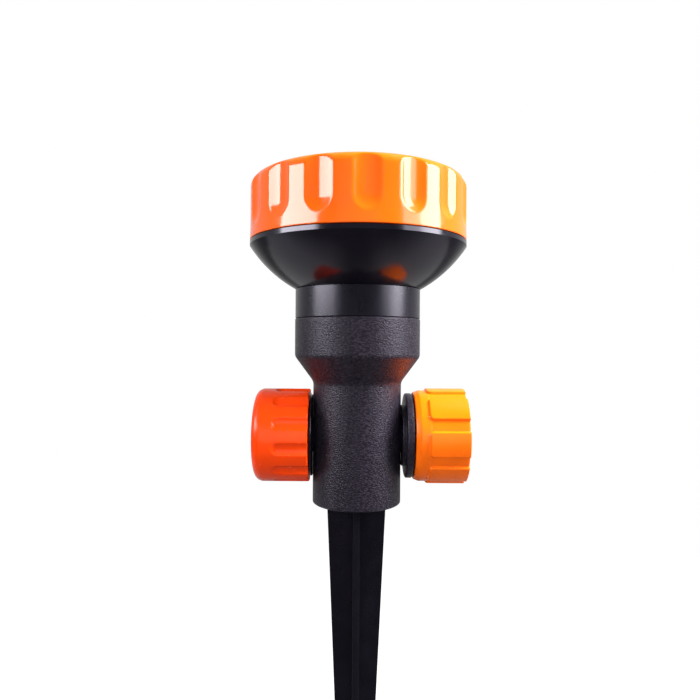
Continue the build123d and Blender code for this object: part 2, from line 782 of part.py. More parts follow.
def dial_ring():
    """Grip ring of the dial: rounded rim, inner skirt and sixteen finger recesses."""
    skirt_r = dial_mouth_r + dial_skirt
    under_z = dial_top_z - dial_top
    dial = turned(
        [
            (head_r, dial_low_z),
            (dial_r, recess_low_z),
            (dial_r, dial_top_z),
            (dial_mouth_r, dial_top_z),
            (dial_mouth_r, pattern_top_z),
            (skirt_r, pattern_top_z),
            (skirt_r, under_z),
            (dial_inner_r, under_z),
            (dial_inner_r, dial_low_z),
        ]
    )
    dial = fillet(edges_on_z(dial, (dial_r, dial_top_z)), dial_edge_round)
    dial = chamfer(edges_on_z(dial, (dial_mouth_r, dial_top_z)), dial_mouth_chamfer)
    boss = disc(dial_screw_reach - skirt_r + seat_gap, pattern_top_z, under_z + seat_gap)
    dial += around(Pos(dial_screw_reach, 0, 0) * boss, dial_screw_count, 45)
    pilot = disc(dial_screw_r + seat_gap, pattern_top_z - 1, pattern_z + dial_screw_length + 0.5)
    dial -= around(Pos(dial_screw_reach, 0, 0) * pilot, dial_screw_count, 45)
    tool = Pos(0, 0, recess_low_z) * scoop_tool(dial_r, recess_width, recess_depth, dial_height)
    dial -= around(tool, recess_count, port_angle)
    return on_head(dial)


def dial_screws():
    """Screws that hold the pattern plate in the dial ring, heads down."""
    screw = pan_screw(dial_screw_r, dial_screw_length, dial_screw_head_r, dial_screw_head, 0)
    screw = Pos(dial_screw_reach, 0, pattern_z) * Rot(180, 0, 0) * screw
    return on_head(joined(around(screw, dial_screw_count, 45)))


def pivot_washer_ring():
    """Thrust washer on the post, over the hub of the dial."""
    return on_head(ring(hub_r - pivot_washer_inset, pivot_screw_r + seat_gap, post_top_z, pivot_seat_z))


def pivot_screw():
    """Screw that holds the dial on the post."""
    length = pivot_screw_length + pivot_washer
    return on_head(pan_screw(pivot_screw_r, length, pivot_head_r, pivot_head, pivot_seat_z))


def hub_cap():
    """Button over the pivot screw, pressed on the hub of the dial."""
    top_z = hub_cap_inner_z + hub_cap_wall
    cap = disc(hub_cap_r, pattern_top_z, top_z)
    cap = chamfer(edges_on_z(cap, (hub_cap_r, top_z)), hub_cap_chamfer)
    cap -= disc(hub_cap_bore_r, pattern_top_z - 1, hub_cap_inner_z)
    return on_head(cap)


os.makedirs("parts", exist_ok=True)
export_step(ground_spike(), "parts/ground_spike.step")
export_step(body_housing(), "parts/body_housing.step")
export_step(water_tee(), "parts/water_tee.step")
export_step(riser_oring(), "parts/riser_oring.step")
export_step(inlet_tail(), "parts/inlet_tail.step")
export_step(side_oring(1), "parts/inlet_oring.step")
export_step(inlet_bush(), "parts/inlet_bush.step")
export_step(swivel_nut(), "parts/swivel_nut.step")
export_step(hose_washer(), "parts/hose_washer.step")
export_step(outlet_nipple(), "parts/outlet_nipple.step")
export_step(side_oring(-1), "parts/outlet_oring.step")
export_step(end_cap(), "parts/end_cap.step")
export_step(end_cap_washer(), "parts/end_cap_washer.step")
export_step(head_collar(), "parts/head_collar.step")
export_step(spray_bowl(), "parts/spray_bowl.step")
export_step(chamber_gasket(), "parts/chamber_gasket.step")
export_step(port_plate(), "parts/port_plate.step")
export_step(port_plate_screws(), "parts/port_plate_screws.step")
export_step(port_seal(), "parts/port_seal.step")
export_step(port_seal_spring(), "parts/port_seal_spring.step")
export_step(detent_leaf(), "parts/detent_leaf.step")
export_step(detent_screw(), "parts/detent_screw.step")
export_step(pattern_plate(), "parts/pattern_plate.step")
export_step(dial_ring(), "parts/dial_ring.step")
export_step(dial_screws(), "parts/dial_screws.step")
export_step(pivot_washer_ring(), "parts/pivot_washer.step")
export_step(pivot_screw(), "parts/pivot_screw.step")
export_step(hub_cap(), "parts/hub_cap.step")
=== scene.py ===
import json
from math import atan2, cos, hypot, inf, pi, radians, sin, sqrt, tan

import bpy
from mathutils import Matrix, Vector


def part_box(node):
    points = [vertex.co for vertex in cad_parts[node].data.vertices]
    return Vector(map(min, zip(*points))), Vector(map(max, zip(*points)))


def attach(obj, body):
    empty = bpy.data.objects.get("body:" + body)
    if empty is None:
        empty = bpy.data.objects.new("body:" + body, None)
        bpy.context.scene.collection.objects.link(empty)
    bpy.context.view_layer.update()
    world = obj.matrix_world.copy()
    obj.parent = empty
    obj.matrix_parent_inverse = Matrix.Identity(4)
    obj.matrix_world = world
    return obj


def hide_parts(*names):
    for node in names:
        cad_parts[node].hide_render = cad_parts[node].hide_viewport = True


# Looks of a dial sprinkler on a ground spike. Shapes are worked out in millimetres from
# the frame's boxes and become metres when their mesh is made.
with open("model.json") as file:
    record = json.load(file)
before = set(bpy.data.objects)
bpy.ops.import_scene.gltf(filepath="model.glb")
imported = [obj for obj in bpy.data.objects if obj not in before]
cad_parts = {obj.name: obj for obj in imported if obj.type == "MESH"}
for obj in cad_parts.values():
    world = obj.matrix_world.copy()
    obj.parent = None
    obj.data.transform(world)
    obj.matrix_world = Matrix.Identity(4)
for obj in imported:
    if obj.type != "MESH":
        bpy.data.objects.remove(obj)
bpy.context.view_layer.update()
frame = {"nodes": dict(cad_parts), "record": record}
MM = 0.001
NODES = frame["nodes"]


def corners(node):
    """Lowest and highest corner of a CAD node, in millimetres."""
    low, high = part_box(node)
    return low / MM, high / MM


# ---------------------------------------------------------------- sizes from the frame
ring_low, ring_high = corners("dial_ring")
nut_low, nut_high = corners("swivel_nut")
cap_low, cap_high = corners("end_cap")
nipple_low, nipple_high = corners("outlet_nipple")
tail_low, tail_high = corners("inlet_tail")
washer_low, washer_high = corners("hose_washer")
cap_washer_low = corners("end_cap_washer")[0]
bush_high = corners("inlet_bush")[1]
plate_high = corners("pattern_plate")[1]
housing_high = corners("body_housing")[1]
spike_low = corners("ground_spike")[0]
port_z = (nut_low.z + nut_high.z) / 2

# ---------------------------------------------------------------- sizes that the pieces share
seat_gap = 0.05          # pieces that plug into each other
face_gap = 0.3           # moving faces that don't touch
body_r = 16.6
neck_x = body_r + seat_gap
tube_r = 9.0
tube_bore_r = 4.6        # narrow enough to leave the waist a wall
waist_r = 6.4            # of the side tubes where they pass through the housing
tail_collar = 2.2
thread_r = 12.9          # mean radius of the 3/4 inch hose thread
thread_pitch = 25.4 / 11.5
thread_ridge = 0.55
thread_margin = 1.0      # between a thread and the end of its wall


# ---------------------------------------------------------------- mesh building
def make_object(name, points, faces, body, material, replaces=()):
    """Piece from points in millimetres, riding on a body."""
    mesh = bpy.data.meshes.new(name)
    mesh.from_pydata([Vector(point) * MM for point in points], [], faces)
    mesh.validate()
    mesh.update()
    for polygon in mesh.polygons:
        polygon.use_smooth = True
    piece = bpy.data.objects.new(name, mesh)
    bpy.context.scene.collection.objects.link(piece)
    mesh.materials.append(material)
    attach(piece, body)
    if replaces:
        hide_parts(*replaces)
    return piece


def rounded(outline, steps=6):
    """Closed outline with an arc at each (radius, place along the axis, rounding) corner."""
    points = []
    count = len(outline)
    for place, (across, along, rounding) in enumerate(outline):
        here = Vector((across, along))
        if rounding <= 0:
            points.append((across, along))
            continue
        back = (Vector(outline[place - 1][:2]) - here).normalized()
        ahead = (Vector(outline[(place + 1) % count][:2]) - here).normalized()
        half = back.angle(ahead) / 2
        centre = here + (back + ahead).normalized() * rounding / sin(half)
        start = here + back * rounding / tan(half) - centre
        end = here + ahead * rounding / tan(half) - centre
        first = atan2(start.y, start.x)
        sweep = (atan2(end.y, end.x) - first + pi) % (2 * pi) - pi
        for step in range(steps + 1):
            angle = first + sweep * step / steps
            points.append((centre.x + rounding * cos(angle), centre.y + rounding * sin(angle)))
    return points


def refined(points, step, closed=True, beyond=0.0):
    """Outline whose stretches beyond a radius are split into parts of about a step."""
    result = []
    count = len(points)
    for place in range(count if closed else count - 1):
        start = points[place]
        end = points[(place + 1) % count]
        parts = max(1, round(hypot(end[0] - start[0], end[1] - start[1]) / step))
        if min(start[0], end[0]) < beyond:
            parts = 1
        for part in range(parts):
            share = part / parts
            result.append((start[0] + (end[0] - start[0]) * share, start[1] + (end[1] - start[1]) * share))
    if not closed:
        result.append(points[-1])
    return result


def on_z(radius, along, angle):
    """Point at a radius about Z, a height and an angle."""
    return (radius * cos(angle), radius * sin(angle), along)


def on_x(radius, along, angle):
    """Point at a radius about the fittings' axis, a distance along X and an angle."""
    return (along, radius * cos(angle), port_z + radius * sin(angle))


def turned(points, segments, place, shape=None, closed=True):
    """Points and faces of an outline turned about an axis; an open outline ends on the axis."""
    on_axis = 1e-6           # a point this near to the axis lies on it
    verts = []
    rows = []
    for across, along in points:
        if not closed and across < on_axis:
            rows.append([len(verts)] * segments)
            verts.append(place(0, along, 0))
            continue
        rows.append(list(range(len(verts), len(verts) + segments)))
        for step in range(segments):
            angle = 2 * pi * step / segments
            radius = shape(across, along, angle) if shape else across
            verts.append(place(radius, along, angle))
    faces = []
    for row in range(len(rows) if closed else len(rows) - 1):
        this, following = rows[row], rows[(row + 1) % len(rows)]
        for step in range(segments):
            after = (step + 1) % segments
            face = [this[step], this[after], following[after], following[step]]
            face = list(dict.fromkeys(face))
            if len(face) > 2:
                faces.append(face)
    return verts, faces


def smooth_min(first, second, blend):
    """Lesser of two values, with a soft change from one to the other."""
    if second == inf:
        return first
    overlap = max(blend - abs(first - second), 0) / blend
    return min(first, second) - overlap * overlap * blend / 4


def scoop_radius(wall_r, width, depth):
    """Radius of the round-nosed tool that cuts a groove of a width and depth in a wall."""
    half = width / 2
    drop = depth - (wall_r - sqrt(wall_r**2 - half**2))
    return (half**2 + drop**2) / (2 * drop)


def scoop_wall(wall_r, width, depth, beyond_end, angle):
    """Radius at which a round-nosed groove's wall lies, beyond_end being the way past its start."""
    tool_r = scoop_radius(wall_r, width, depth)
    centre = wall_r - depth + tool_r
    reach = tool_r**2 - max(beyond_end, 0) ** 2
    inside = reach - (centre * sin(angle)) ** 2
    if reach <= 0 or inside <= 0 or abs(angle) > pi / 4:
        return inf
    return centre * cos(angle) - sqrt(inside)


def from_nearest(angle, count, phase):
    """Angle from the nearest of several evenly spaced directions."""
    pitch = 2 * pi / count
    return (angle - phase + pitch / 2) % pitch - pitch / 2


# ---------------------------------------------------------------- materials
COOL_SHEEN = (0.88, 0.84, 1.0)      # tint of the blacks' and the charcoal's gloss


def new_material(name):
    """New material with its nodes, its links and its shader."""
    material = bpy.data.materials.new(name)
    material.use_nodes = True
    nodes = material.node_tree.nodes
    return material, nodes, material.node_tree.links, nodes["Principled BSDF"]


def noise(nodes, links, coordinates, scale, detail=3.0, stretch=(1, 1, 1)):
    """Noise of a scale in features per metre, stretched along the axes."""
    mapping = nodes.new("ShaderNodeMapping")
    mapping.inputs["Scale"].default_value = stretch
    links.new(coordinates.outputs["Object"], mapping.inputs["Vector"])
    texture = nodes.new("ShaderNodeTexNoise")
    texture.inputs["Scale"].default_value = scale
    texture.inputs["Detail"].default_value = detail
    links.new(mapping.outputs["Vector"], texture.inputs["Vector"])
    return texture


def ramp(nodes, links, value, low, high, first, second):
    """Colour that goes from a first to a second colour as a value rises."""
    scale = nodes.new("ShaderNodeValToRGB")
    scale.color_ramp.elements[0].position = low
    scale.color_ramp.elements[1].position = high
    scale.color_ramp.elements[0].color = (*first, 1)
    scale.color_ramp.elements[1].color = (*second, 1)
    links.new(value, scale.inputs["Fac"])
    return scale


def value_range(nodes, links, value, low, high, new_low, new_high):
    """Value mapped from one range to another."""
    mapped = nodes.new("ShaderNodeMapRange")
    mapped.inputs["From Min"].default_value = low
    mapped.inputs["From Max"].default_value = high
    mapped.inputs["To Min"].default_value = new_low
    mapped.inputs["To Max"].default_value = new_high
    links.new(value, mapped.inputs["Value"])
    return mapped.outputs["Result"]


def multiplied(nodes, links, first, second):
    """Product of two values."""
    product = nodes.new("ShaderNodeMath")
    product.operation = "MULTIPLY"
    links.new(first, product.inputs[0])
    links.new(second, product.inputs[1])
    return product.outputs["Value"]


def relief(nodes, links, height, depth, under=None):
    """Bump of a depth in millimetres, laid over another one where there is one."""
    bump = nodes.new("ShaderNodeBump")
    bump.inputs["Strength"].default_value = 1.0
    bump.inputs["Distance"].default_value = depth * MM
    links.new(height, bump.inputs["Height"])
    if under:
        links.new(under.outputs["Normal"], bump.inputs["Normal"])
    return bump


def plastic(name, deep, light, rough, grain_scale, grain_depth, tint=(1, 1, 1), specular=0.5):
    """Moulded plastic: slow colour drift, uneven gloss and a fine relief."""
    spread = 120.0
    material, nodes, links, shader = new_material(name)
    coordinates = nodes.new("ShaderNodeTexCoord")
    drift = noise(nodes, links, coordinates, spread)
    colour = ramp(nodes, links, drift.outputs["Fac"], 0.35, 0.65, deep, light)
    links.new(colour.outputs["Color"], shader.inputs["Base Color"])
    gloss = noise(nodes, links, coordinates, 3 * spread, 5.0)
    roughness = value_range(nodes, links, gloss.outputs["Fac"], 0.3, 0.7, rough[0], rough[1])
    links.new(roughness, shader.inputs["Roughness"])
    grain = noise(nodes, links, coordinates, grain_scale, 4.0)
    bump = relief(nodes, links, grain.outputs["Fac"], grain_depth)
    links.new(bump.outputs["Normal"], shader.inputs["Normal"])
    shader.inputs["Specular IOR Level"].default_value = specular
    shader.inputs["Specular Tint"].default_value = (*tint, 1)
    return material


def orange_plastic(name, colour, rough, specular):
    """Glossy orange plastic whose shade drifts a little."""
    deepest = 0.94           # of the colour's strength
    deep = [deepest * part for part in colour]
    return plastic(name, deep, colour, rough, 700.0, 0.004, specular=specular)


def black_plastic(name, rough, grain_scale, grain_depth):
    """Smooth black plastic with a cool gloss."""
    deep, light = (0.0045, 0.0038, 0.0068), (0.0065, 0.0055, 0.0095)
    return plastic(name, deep, light, rough, grain_scale, grain_depth, COOL_SHEEN)


def charcoal_plastic():
    """Spark-eroded plastic: a fine lying grain, its tops painted pale as glints and its hollows painted
    dark as shade.
    """
    material, nodes, links, shader = new_material("charcoal_plastic")
    coordinates = nodes.new("ShaderNodeTexCoord")
    grain = noise(nodes, links, coordinates, 1350.0, 3.0, (0.8, 0.8, 1.9))
    fine = noise(nodes, links, coordinates, 3600.0, 2.0)
    # painted light: the grain's raised tops are painted paler as glints and its hollows darker as shade
    grain_shade_colour, grain_glint_colour = (0.0080, 0.0061, 0.0100), (0.034, 0.028, 0.040)
    colour = ramp(nodes, links, grain.outputs["Fac"], 0.42, 0.70, grain_shade_colour, grain_glint_colour)
    links.new(colour.outputs["Color"], shader.inputs["Base Color"])
    roughness = value_range(nodes, links, grain.outputs["Fac"], 0.35, 0.7, 0.40, 0.29)
    links.new(roughness, shader.inputs["Roughness"])
    coarse = relief(nodes, links, grain.outputs["Fac"], 0.18)
    both = relief(nodes, links, fine.outputs["Fac"], 0.06, coarse)
    links.new(both.outputs["Normal"], shader.inputs["Normal"])
    shader.inputs["Specular IOR Level"].default_value = 0.29
    shader.inputs["Specular Tint"].default_value = (*COOL_SHEEN, 1)
    return material


def satin_black_plastic():
    """Satin black of the plates and the tee inside the head and housing."""
    deep, light = (0.014, 0.013, 0.015), (0.020, 0.019, 0.021)
    return plastic("satin_black_plastic", deep, light, (0.28, 0.38), 1500.0, 0.03)


def seal_rubber():
    """Dull black rubber of the seals and washers."""
    deep, light = (0.016, 0.016, 0.016), (0.024, 0.024, 0.024)
    return plastic("seal_rubber", deep, light, (0.55, 0.7), 1200.0, 0.04)


def stainless_steel():
    """Turned stainless steel with fine streaks."""
    material, nodes, links, shader = new_material("stainless_steel")
    coordinates = nodes.new("ShaderNodeTexCoord")
    streaks = noise(nodes, links, coordinates, 2500.0, 4.0, (1, 1, 0.15))
    colour = ramp(nodes, links, streaks.outputs["Fac"], 0.3, 0.7, (0.50, 0.49, 0.47), (0.64, 0.63, 0.61))
    links.new(colour.outputs["Color"], shader.inputs["Base Color"])
    roughness = value_range(nodes, links, streaks.outputs["Fac"], 0.3, 0.7, 0.22, 0.36)
    links.new(roughness, shader.inputs["Roughness"])
    shader.inputs["Metallic"].default_value = 1.0
    return material


ORANGE = orange_plastic("orange_plastic", (0.95, 0.118, 0.004), (0.10, 0.17), 0.5)
# painted shade: the cap's orange is the ring's plastic made darker and redder, as the cap lies in shade
SHADED_ORANGE = orange_plastic("orange_plastic_painted_shade", (0.92, 0.055, 0.002), (0.20, 0.28), 0.22)
# painted light: the nut's orange is the ring's plastic made yellower, as strong light falls on the nut
# from above and the right
LIT_ORANGE = orange_plastic("orange_plastic_painted_light", (0.95, 0.145, 0.002), (0.20, 0.28), 0.22)
BLACK = black_plastic("black_gloss_plastic", (0.14, 0.20), 700.0, 0.004)
SEMIGLOSS = black_plastic("black_semigloss_plastic", (0.27, 0.30), 900.0, 0.01)
CHARCOAL = charcoal_plastic()
SATIN = satin_black_plastic()
RUBBER = seal_rubber()
STEEL = stainless_steel()
SLOT_MATERIALS = {
    "gloss_orange": ORANGE,
    "gloss_black": BLACK,
    "textured_charcoal": CHARCOAL,
    "matte_black": SATIN,
    "seal_rubber": RUBBER,
    "steel": STEEL,
}


def dress_nodes():
    """Gives each CAD node the material of its slot; collar and spike are a little less glossy."""
    for entry in frame["record"]["subparts"]:
        material = SLOT_MATERIALS[entry["material_slot"]]
        if entry["node"] in ("head_collar", "ground_spike"):
            material = SEMIGLOSS
        mesh = NODES[entry["node"]].data
        mesh.materials.clear()
        mesh.materials.append(material)


def round_spike_edges():
    """Small roundings on the edges of the spike, whose faces are joined first."""
    spike = NODES["ground_spike"]
    weld = spike.modifiers.new("weld", "WELD")
    weld.merge_threshold = 0.001 * MM
    bevel = spike.modifiers.new("bevel", "BEVEL")
    bevel.width = 0.3 * MM
    bevel.segments = 3
    bevel.limit_method = "ANGLE"
    bevel.angle_limit = radians(50)


# ---------------------------------------------------------------- the dial
def dial_ring():
    """Grip ring with its round-nosed finger flutes."""
    wall_r = 40.3
    foot_r = 40.5
    mouth_r = 31.0
    skirt_r = 33.4
    inner_r = 37.3
    top_wall = 2.4
    pad_height = 1.6         # of the spray pads over the pattern plate's face
    head_turn = 3.2          # degrees that the head is turned about Z
    flute_count = 16
    flute_width = 9.3
    flute_depth = 1.3
    flute_foot = 4.85        # from the ring's foot to the flutes
    flute_phase = radians(head_turn - 90)
    flute_edge = 0.35
    segments = 640
    under_z = ring_high.z - top_wall
    plate_z = plate_high.z - pad_height
    flute_low = ring_low.z + flute_foot
    outline = rounded(
        [
            (foot_r, ring_low.z, 0.35),
            (wall_r, flute_low, 0),
            (wall_r, ring_high.z, 3.6),
            (mouth_r, ring_high.z, 1.6),
            (mouth_r, plate_z, 0.2),
            (skirt_r, plate_z, 0.2),
            (skirt_r, under_z, 0.6),
            (inner_r, under_z, 0.6),
            (inner_r, ring_low.z, 0.3),
        ],
        10,
    )
    start_z = flute_low + flute_width / 2

    def fluted(radius, along, angle):
        """Radius of the ring's outside with the flutes cut in."""
        if radius < inner_r:
            return radius
        turn = from_nearest(angle, flute_count, flute_phase)
        wall = scoop_wall(wall_r, flute_width, flute_depth, start_z - along, turn)
        return smooth_min(radius, wall, flute_edge)

    verts, faces = turned(refined(outline, 0.5, beyond=inner_r + 1), segments, on_z, fluted)
    return make_object("dial_ring_skin", verts, faces, "dial", ORANGE, ["dial_ring"])


# ---------------------------------------------------------------- the capped outlet
def end_cap():
    """Screw cap with round-nosed flutes that run out at its open end."""
    wall_r = (cap_high.y - cap_low.y) / 2
    bore_r = 13.6
    flute_count = 12
    flute_width = 4.6
    flute_depth = 1.0
    flute_length = 12.7
    flute_phase = radians(9.5)
    flute_edge = 0.25
    segments = 480
    rim_x = cap_high.x
    end_x = cap_low.x
    floor_x = cap_washer_low.x
    outline = rounded(
        [
            (0, end_x, 0),
            (wall_r, end_x, 3.2),
            (wall_r, rim_x, 0.5),
            (bore_r, rim_x, 0.4),
            (bore_r, floor_x, 0.6),
            (0, floor_x, 0),
        ],
        8,
    )
    start_x = rim_x - flute_length + flute_width / 2

    def fluted(radius, along, angle):
        """Radius of the cap's outside with the flutes cut in."""
        if radius < bore_r + 1:
            return radius
        turn = from_nearest(angle, flute_count, flute_phase)
        wall = scoop_wall(wall_r, flute_width, flute_depth, start_x - along, turn)
        return smooth_min(radius, wall, flute_edge)

    points = refined(outline, 0.35, closed=False, beyond=bore_r + 1)
    verts, faces = turned(points, segments, on_x, fluted, closed=False)
    # the cap gets the orange with painted shade
    return make_object("end_cap_skin", verts, faces, "cap", SHADED_ORANGE, ["end_cap"])


# ---------------------------------------------------------------- the swivel nut
def swivel_nut():
    """Hose nut: rounded base ring and eight broad lobes."""
    core_r = 16.85
    outside_r = core_r - 0.7     # beyond it, the outline is the nut's outside
    base_r = 17.0
    base_length = 4.4
    nose_r = 16.2            # of the base ring's face
    flare_x = nut_low.x + 2.0    # where the base ring has widened
    bore_r = 9.3
    seat_r = thread_r - 0.5
    seat_x = washer_low.x - tail_collar - face_gap
    lobe_count = 8
    lobe_arc = radians(33)
    lobe_phase = radians(3.2)
    lobe_corner = 2.0
    lobe_edge = 0.8
    lobe_end = 0.45          # how far into the lobes' rounding the nut's flat end cuts
    lobe_r = (nut_high.z - nut_low.z) / 2
    lobe_x = nut_low.x + base_length
    step_x, step_width = lobe_x + 0.6, 0.6
    segments = 720
    outline = rounded(
        [
            (bore_r, nut_low.x, 0.3),
            (nose_r, nut_low.x, 0.7),
            (base_r, flare_x, 1.2),
            (base_r, step_x, 0.3),
            (core_r, step_x + step_width, 0.3),
            (core_r, nut_high.x, 0.5),
            (thread_r, nut_high.x, 0.6),
            (thread_r, washer_high.x, 0.1),
            (seat_r, washer_high.x, 0.1),
            (seat_r, seat_x, 0.2),
            (bore_r, seat_x, 0.2),
        ],
        6,
    )

    def lobed(radius, along, angle):
        """Radius of the nut's outside with the lobes raised on it."""
        if radius < outside_r:
            return radius
        turn = from_nearest(angle, lobe_count, lobe_phase)
        across = (lobe_arc / 2 - abs(turn)) * lobe_r
        behind = along - lobe_x
        ahead = nut_high.x - along + lobe_end
        inside = min(across, behind, ahead)
        if across < lobe_corner and behind < lobe_corner:
            inside = lobe_corner - hypot(lobe_corner - across, lobe_corner - behind)
        share = min(max(inside / lobe_edge, 0), 1)
        rise = share * share * (3 - 2 * share) if inside < ahead else sqrt(1 - (1 - share) ** 2)
        return max(radius, radius + (lobe_r - radius) * rise)

    verts, faces = turned(refined(outline, 0.28, beyond=outside_r), segments, on_x, lobed)
    # the nut gets the orange with painted light
    return make_object("swivel_nut_skin", verts, faces, "nut", LIT_ORANGE, ["swivel_nut"])


def thread(name, ridge, start, end, body, material):
    """Helical ridge on a wall of the thread's mean radius; a negative ridge stands inwards."""
    per_turn = 72
    run_out = per_turn / 3           # steps over which the ridge rises at either end
    least = 0.05                     # share of the ridge that stands at its very ends
    turns = abs(end - start) / thread_pitch
    total = int(turns * per_turn)
    way = 1 if end > start else -1
    # The ridge's section: places along the axis in millimetres, and shares of its height.
    profile = [(-0.80, -0.12), (-0.36, 0.86), (-0.22, 1.0), (0.22, 1.0), (0.36, 0.86), (0.80, -0.12)]
    verts = []
    for step in range(total + 1):
        risen = min(step, total - step) / run_out
        height = ridge * min(1, max(risen, least))
        angle = -way * 2 * pi * step / per_turn
        centre = start + way * thread_pitch * step / per_turn
        for offset, share in profile:
            verts.append(on_x(thread_r + height * share, centre + offset, angle))
    size = len(profile)
    faces = [list(range(size)), list(range(total * size, (total + 1) * size))[::-1]]
    for step in range(total):
        for side in range(size):
            this = step * size + side
            beside = step * size + (side + 1) % size
            faces.append([this, beside, beside + size, this + size])
    return make_object(name, verts, faces, body, material)


def nut_thread():
    """Hose thread in the swivel nut, from its washer to its open end."""
    start, end = washer_high.x + thread_margin, nut_high.x - thread_margin
    return thread("nut_thread", -thread_ridge, start, end, "nut", LIT_ORANGE)


def outlet_thread():
    """Hose thread on the outlet, from its stop flange to its end."""
    length = 13.2
    end = nipple_low.x + thread_margin
    return thread("outlet_thread", thread_ridge, end + length, end, "housing", BLACK)


# ---------------------------------------------------------------- the pieces in the housing's sides
def side_tube(start):
    """Corners of a tube in the tee, with its seal's groove and a waist up to the housing's side."""
    groove_start = start + 1.8
    groove_end = start + 3.4
    groove_r = tube_r - 1.5
    taper_x, waist_x = 8.8, 10.0     # where the tube starts to narrow and where it is a waist
    return [
        (tube_bore_r, start, 0),
        (tube_r, start, 0.3),
        (tube_r, groove_start, 0),
        (groove_r, groove_start, 0),
        (groove_r, groove_end, 0),
        (tube_r, groove_end, 0),
        (tube_r, taper_x, 0),
        (waist_r, waist_x, 0),
    ]


def inlet_tail():
    """Tube from the tee to the nut, with the collar that holds the nut."""
    collar_x = tail_high.x - tail_collar
    outline = side_tube(tail_low.x) + [
        (waist_r, neck_x, 0),
        (tube_r, neck_x, 0.2),
        (tube_r, collar_x, 0.2),
        (tail_high.y, collar_x, 0.3),
        (tail_high.y, tail_high.x, 0.3),
        (tube_bore_r, tail_high.x, 0.5),
    ]
    verts, faces = turned(rounded(outline, 4), 128, on_x)
    return make_object("inlet_tail_skin", verts, faces, "housing", BLACK, ["inlet_tail"])


def inlet_bush():
    """Neck and disc on the tail, between the housing and the nut."""
    bore_r = tube_r + seat_gap
    neck_r = 11.5
    neck_show = 1.4          # neck seen between housing and disc
    disc_r = bush_high.y
    disc_x = body_r + neck_show
    outline = rounded(
        [
            (bore_r, neck_x, 0.2),
            (neck_r, neck_x, 0.4),
            (neck_r, disc_x, 0.3),
            (disc_r, disc_x, 0.6),
            (disc_r, bush_high.x, 0.6),
            (bore_r, bush_high.x, 0.2),
        ],
        4,
    )
    verts, faces = turned(outline, 192, on_x)
    return make_object(
        "inlet_bush_skin", verts, faces, "housing", CHARCOAL, ["inlet_bush"]
    )


def outlet_nipple():
    """Outlet pipe with its stop flange, its waist in the housing's side and its tube in the tee."""
    flange_r = nipple_high.y
    flange_width = 0.8
    mouth_r = 8.6
    stop_x = -neck_x - flange_width
    outline = [(across, -along, bend) for across, along, bend in side_tube(-nipple_high.x)] + [
        (waist_r, -neck_x, 0),
        (flange_r, -neck_x, 0.25),
        (flange_r, stop_x, 0.25),
        (thread_r, stop_x, 0.2),
        (thread_r, nipple_low.x, 0.6),
        (mouth_r, nipple_low.x, 0.4),
        (mouth_r, stop_x, 0.3),
        (tube_bore_r, stop_x, 0.3),
    ]
    verts, faces = turned(rounded(outline, 4), 192, on_x)
    return make_object(
        "outlet_nipple_skin", verts, faces, "housing", BLACK, ["outlet_nipple"]
    )


# ---------------------------------------------------------------- the housing
def cut(piece, points, faces):
    """Takes a closed solid away from a piece."""
    tool = bpy.data.objects.new("cutter", bpy.data.meshes.new("cutter"))
    tool.data.from_pydata([Vector(point) * MM for point in points], [], faces)
    bpy.context.scene.collection.objects.link(tool)
    modifier = piece.modifiers.new("cut", "BOOLEAN")
    modifier.operation = "DIFFERENCE"
    modifier.solver = "EXACT"
    modifier.object = tool
    shape = piece.evaluated_get(bpy.context.evaluated_depsgraph_get())
    mesh = bpy.data.meshes.new_from_object(shape)
    piece.modifiers.clear()
    piece.data = mesh
    bpy.data.objects.remove(tool)
    mesh.set_sharp_from_angle(angle=radians(40))


def body_housing():
    """Housing whose tube, cone and cup run softly into each other, with its two side holes."""
    wall = 2.4
    waist_z = 45.5           # top of the narrow part
    shoulder_z = 55.0        # bottom of the wide part
    cup_r = housing_high.x
    outline = rounded(
        [
            (body_r, 0, 0.5),
            (body_r, waist_z, 4),
            (cup_r, shoulder_z, 3),
            (cup_r, housing_high.z, 0.4),
            (cup_r - wall, housing_high.z, 0.2),
            (cup_r - wall, shoulder_z + wall / 2, 0),
            (body_r - wall, waist_z + wall / 2, 0),
            (body_r - wall, 0, 0.2),
        ],
        10,
    )
    verts, faces = turned(refined(outline, 1.5), 256, on_z)
    skin = make_object(
        "body_housing_skin", verts, faces, "housing", CHARCOAL, ["body_housing"]
    )
    hole_r = waist_r + seat_gap
    beyond = 2 * body_r
    hole = [(0, -beyond), (hole_r, -beyond), (hole_r, beyond), (0, beyond)]
    cut(skin, *turned(hole, 128, on_x, closed=False))
    return skin


# ---------------------------------------------------------------- the scene around it
def set_camera():
    """Camera in front of the object, a little above the housing's shoulder and nearly level."""
    distance = 0.228
    pitch, roll = -0.4, -0.37        # degrees
    aside, height = -0.0028, 0.059
    sensor = 36.0
    image_width = 700        # pixels
    focal_length = 600       # pixels
    data = bpy.data.cameras.new("camera")
    data.sensor_width = sensor
    data.lens = sensor * focal_length / image_width
    data.clip_start = 0.01
    camera = bpy.data.objects.new("camera", data)
    camera.location = (aside, -distance, height)
    camera.rotation_euler = (radians(90 + pitch), radians(roll), 0)
    bpy.context.scene.collection.objects.link(camera)
    bpy.context.scene.camera = camera


